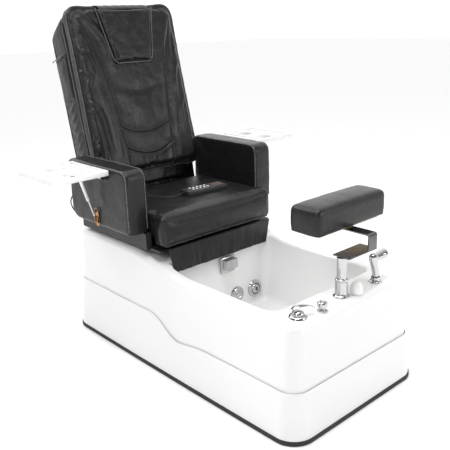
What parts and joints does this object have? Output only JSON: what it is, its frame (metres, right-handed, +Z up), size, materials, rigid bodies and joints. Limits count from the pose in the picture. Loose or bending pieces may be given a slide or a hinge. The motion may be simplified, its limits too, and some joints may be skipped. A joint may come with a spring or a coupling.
{
  "type": "pedicure spa chair",
  "caption": "Pedicure spa chair: moulded foot basin base with deck fittings and leg rest, sliding padded seat with reclining massage back, arms and fold-down side trays.",
  "frame": {"origin": "on the floor, under the middle of the base, on the floor frame's centre bar", "axes": "+Z up; the sitter faces -Y, so the foot basin is at the -Y end; +X is the sitter's left"},
  "size_m": [1.36, 1.6643, 1.5024],
  "materials": {
    "acrylic_white": "gloss",
    "black_leather": "semi-gloss",
    "chrome": "polished",
    "strip_steel": "satin",
    "black_steel": "satin",
    "tray_plastic": "satin",
    "black_plastic": "matte",
    "rubber": "matte",
    "cord_black": "satin",
    "key_white": "matte",
    "display_grey": "gloss",
    "brass": "worn",
    "plywood": "raw"
  },
  "bodies": {
    "base": {"tub_shell": "acrylic_white", "skirt_casing": "acrylic_white", "floor_trim": "rubber", "base_frame": "black_steel", "drain_strainer": "chrome", "jet_pump": "black_plastic", "pump_hose": "rubber", "jet_ring": "chrome", "suction_cover": "chrome", "wall_spout": "chrome", "mixer_base": "chrome", "footrest_post": "chrome", "shower_holder": "chrome", "slide_rails": "black_steel"},
    "seat": {"seat_frame": "black_steel", "seat_cushion": "black_leather", "seat_apron": "black_leather", "arm_right": "black_leather", "arm_left": "black_leather", "tray_hinge_right": "black_steel", "tray_hinge_left": "black_steel", "stay_catch_right": "brass", "stay_catch_left": "brass", "actuator_body": "black_plastic", "remote_housing": "black_plastic", "remote_window": "display_grey", "remote_cord": "cord_black", "arm_cable": "cord_black"},
    "back": {"back_frame": "black_steel", "back_shell": "black_leather", "side_roll": "black_leather", "back_cushion": "black_leather"},
    "headrest": {"headrest_flap": "black_leather"},
    "massage_carriage": {"massage_carriage": "black_plastic"},
    "massage_rollers": {"massage_rollers": "rubber"},
    "recline_rod": {"actuator_rod": "chrome"},
    "tray_right": {"tray_right": "tray_plastic"},
    "tray_left": {"tray_left": "tray_plastic"},
    "stay_right": {"stay_right": "tray_plastic"},
    "stay_left": {"stay_left": "tray_plastic"},
    "footrest_post_tube": {"post_tube": "chrome"},
    "footrest": {"footrest_bracket": "strip_steel", "footrest_board": "plywood", "footrest_pad": "black_leather"},
    "hand_shower": {"hand_shower": "chrome"},
    "mixer_hub": {"mixer_hub": "chrome"},
    "mixer_lever": {"mixer_lever": "chrome"},
    "drain_knob": {"drain_knob": "chrome"},
    "air_button": {"air_button": "tray_plastic"},
    "jet_nozzle": {"jet_nozzle": "black_plastic"},
    "key_1_1": {"key_1_1": "key_white"},
    "key_1_2": {"key_1_2": "key_white"},
    "key_1_3": {"key_1_3": "key_white"},
    "key_1_4": {"key_1_4": "key_white"},
    "key_1_5": {"key_1_5": "key_white"},
    "key_2_1": {"key_2_1": "key_white"},
    "key_2_2": {"key_2_2": "key_white"},
    "key_2_3": {"key_2_3": "key_white"},
    "key_2_4": {"key_2_4": "key_white"},
    "key_2_5": {"key_2_5": "key_white"}
  },
  "joints": [
    {"name": "seat_slide", "type": "slide", "parent": "base", "child": "seat", "axis": [0, -1, 0], "range_m": [0, 0.12]},
    {"name": "back_recline", "type": "hinge", "parent": "seat", "child": "back", "pos_m": [0, 0.612, 0.6], "axis": [-1, 0, 0], "range_deg": [0, 35]},
    {"name": "recline_rod_travel", "type": "slide", "parent": "seat", "child": "recline_rod", "axis": [0, -1, 0], "range_m": [0, 0.032]},
    {"name": "headrest_lift", "type": "hinge", "parent": "back", "child": "headrest", "pos_m": [0, 0.68581, 1.49922], "axis": [-1, 0, 0], "range_deg": [0, 110]},
    {"name": "massage_travel", "type": "slide", "parent": "back", "child": "massage_carriage", "axis": [0, 0.2233, 0.9748], "range_m": [-0.26, 0.26]},
    {"name": "massage_roll", "type": "hinge", "parent": "massage_carriage", "child": "massage_rollers", "pos_m": [0, 0.71303, 1.05903], "axis": [1, 0, 0], "continuous": true},
    {"name": "tray_fold_right", "type": "hinge", "parent": "seat", "child": "tray_right", "pos_m": [-0.43, 0.382, 0.826], "axis": [0, -1, 0], "range_deg": [0, 88]},
    {"name": "stay_fold_right", "type": "hinge", "parent": "tray_right", "child": "stay_right", "pos_m": [-0.49, 0.372, 0.832], "axis": [0, 1, 0], "range_deg": [0, 105]},
    {"name": "tray_fold_left", "type": "hinge", "parent": "seat", "child": "tray_left", "pos_m": [0.43, 0.382, 0.826], "axis": [0, 1, 0], "range_deg": [0, 88]},
    {"name": "stay_fold_left", "type": "hinge", "parent": "tray_left", "child": "stay_left", "pos_m": [0.49, 0.372, 0.832], "axis": [0, -1, 0], "range_deg": [0, 105]},
    {"name": "footrest_height", "type": "slide", "parent": "base", "child": "footrest_post_tube", "axis": [0, 0, 1], "range_m": [0, 0.045]},
    {"name": "footrest_swivel", "type": "hinge", "parent": "footrest_post_tube", "child": "footrest", "pos_m": [-0.012, -0.636, 0.598], "axis": [0, 0, 1], "range_deg": [-100, 100]},
    {"name": "hand_shower_lift", "type": "slide", "parent": "base", "child": "hand_shower", "axis": [0, 0, 1], "range_m": [0, 0.12]},
    {"name": "mixer_turn", "type": "hinge", "parent": "base", "child": "mixer_hub", "pos_m": [-0.257, -0.639, 0.4548], "axis": [0, 0, 1], "range_deg": [-40, 40]},
    {"name": "mixer_lift", "type": "hinge", "parent": "mixer_hub", "child": "mixer_lever", "pos_m": [-0.27767, -0.63148, 0.47], "axis": [-0.342, -0.9397, 0], "range_deg": [0, 25]},
    {"name": "drain_knob_turn", "type": "hinge", "parent": "base", "child": "drain_knob", "pos_m": [-0.16, -0.668, 0.4444], "axis": [0, 0, 1], "range_deg": [0, 90]},
    {"name": "air_button_press", "type": "slide", "parent": "base", "child": "air_button", "axis": [0, 0, -1], "range_m": [0, 0.0035], "stiffness_N_per_m": 500},
    {"name": "jet_turn", "type": "hinge", "parent": "base", "child": "jet_nozzle", "pos_m": [0.198, 0.03873, 0.209], "axis": [0, -0.9976, 0.0698], "range_deg": [-90, 90]},
    {"name": "key_1_1_press", "type": "slide", "parent": "seat", "child": "key_1_1", "axis": [0, 0, -1], "range_m": [0, 0.0012], "stiffness_N_per_m": 150},
    {"name": "key_1_2_press", "type": "slide", "parent": "seat", "child": "key_1_2", "axis": [0, 0, -1], "range_m": [0, 0.0012], "stiffness_N_per_m": 150},
    {"name": "key_1_3_press", "type": "slide", "parent": "seat", "child": "key_1_3", "axis": [0, 0, -1], "range_m": [0, 0.0012], "stiffness_N_per_m": 150},
    {"name": "key_1_4_press", "type": "slide", "parent": "seat", "child": "key_1_4", "axis": [0, 0, -1], "range_m": [0, 0.0012], "stiffness_N_per_m": 150},
    {"name": "key_1_5_press", "type": "slide", "parent": "seat", "child": "key_1_5", "axis": [0, 0, -1], "range_m": [0, 0.0012], "stiffness_N_per_m": 150},
    {"name": "key_2_1_press", "type": "slide", "parent": "seat", "child": "key_2_1", "axis": [0, 0, -1], "range_m": [0, 0.0012], "stiffness_N_per_m": 150},
    {"name": "key_2_2_press", "type": "slide", "parent": "seat", "child": "key_2_2", "axis": [0, 0, -1], "range_m": [0, 0.0012], "stiffness_N_per_m": 150},
    {"name": "key_2_3_press", "type": "slide", "parent": "seat", "child": "key_2_3", "axis": [0, 0, -1], "range_m": [0, 0.0012], "stiffness_N_per_m": 150},
    {"name": "key_2_4_press", "type": "slide", "parent": "seat", "child": "key_2_4", "axis": [0, 0, -1], "range_m": [0, 0.0012], "stiffness_N_per_m": 150},
    {"name": "key_2_5_press", "type": "slide", "parent": "seat", "child": "key_2_5", "axis": [0, 0, -1], "range_m": [0, 0.0012], "stiffness_N_per_m": 150}
  ],
  "couplings": [
    {"joint": "recline_rod_travel", "follows": "back_recline", "m_per_rad": 0.0514},
    {"joint": "stay_fold_right", "follows": "tray_fold_right", "ratio": 1.193},
    {"joint": "stay_fold_left", "follows": "tray_fold_left", "ratio": 1.193}
  ]
}
